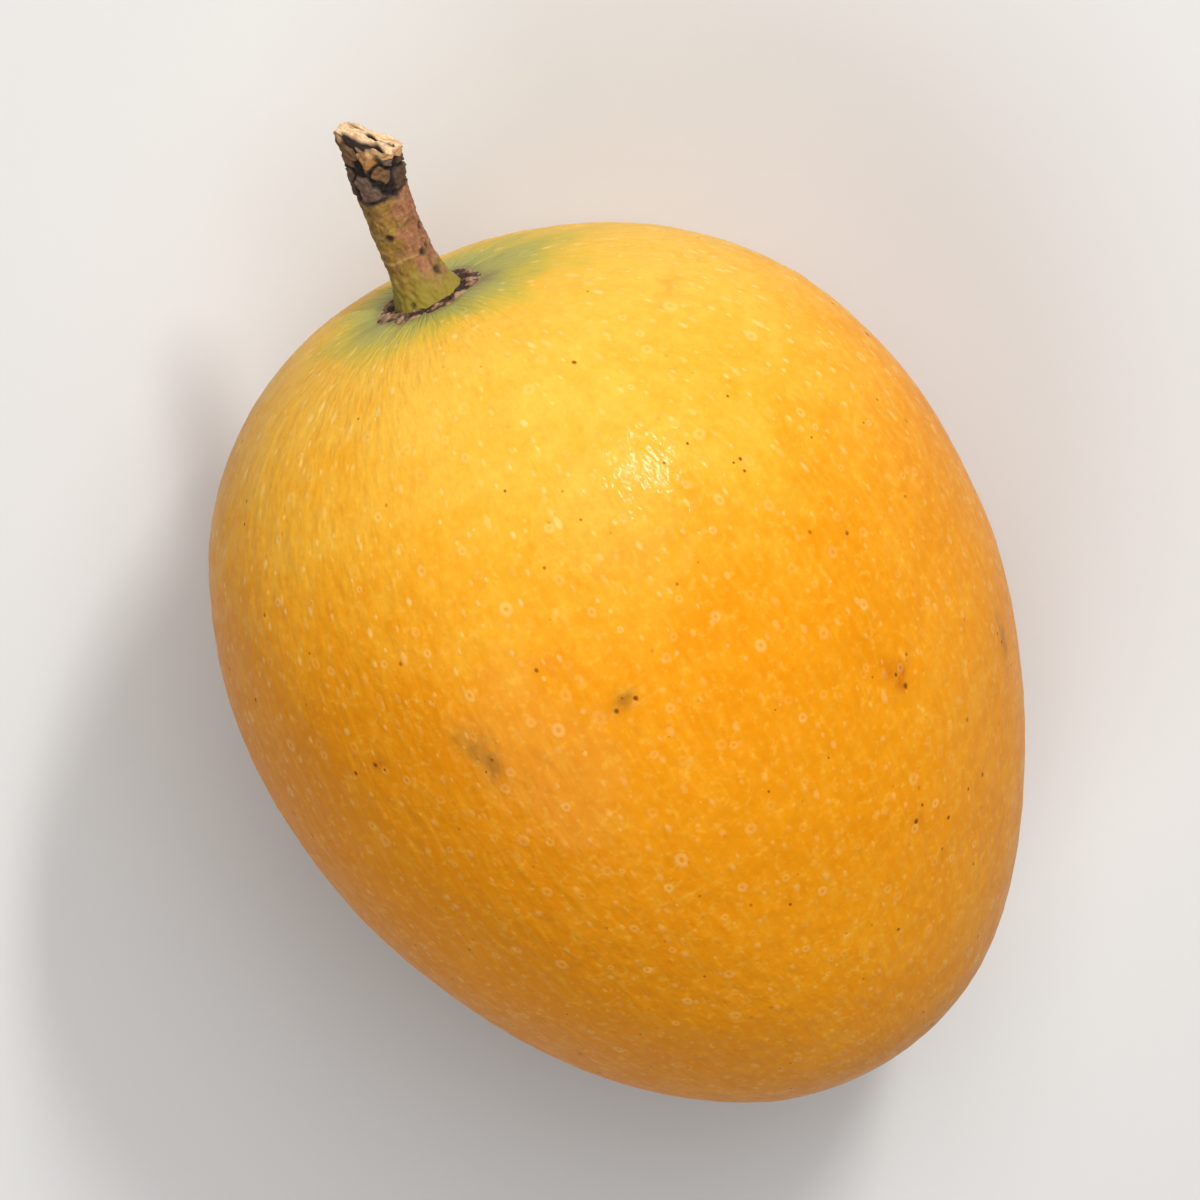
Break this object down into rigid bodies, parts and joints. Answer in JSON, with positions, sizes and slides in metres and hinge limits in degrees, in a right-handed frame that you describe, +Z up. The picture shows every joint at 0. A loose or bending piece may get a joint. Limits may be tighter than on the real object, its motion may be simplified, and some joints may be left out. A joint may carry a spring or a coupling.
{
  "type": "whole mango",
  "caption": "Whole ripe mango lying on its cheek, an egg-shaped solid fruit with a corky calyx ring and a short broken stalk.",
  "frame": {"origin": "middle of the small flat spot on the cheek that the fruit rests on", "axes": "+Z up, +Y along the fruit towards the stalk, +X across its width"},
  "size_m": [0.0756, 0.1124, 0.0681],
  "materials": {
    "skin": "satin waxy fruit skin, golden yellow with small pale dots and a green flush at the stalk",
    "calyx_crust": "dry dark brown corky crust",
    "stalk_bark": "dry tan bark, olive at the foot, with a pale broken end"
  },
  "bodies": {
    "root": {"fruit": "skin", "calyx": "calyx_crust", "stalk": "stalk_bark"}
  },
  "joints": []
}
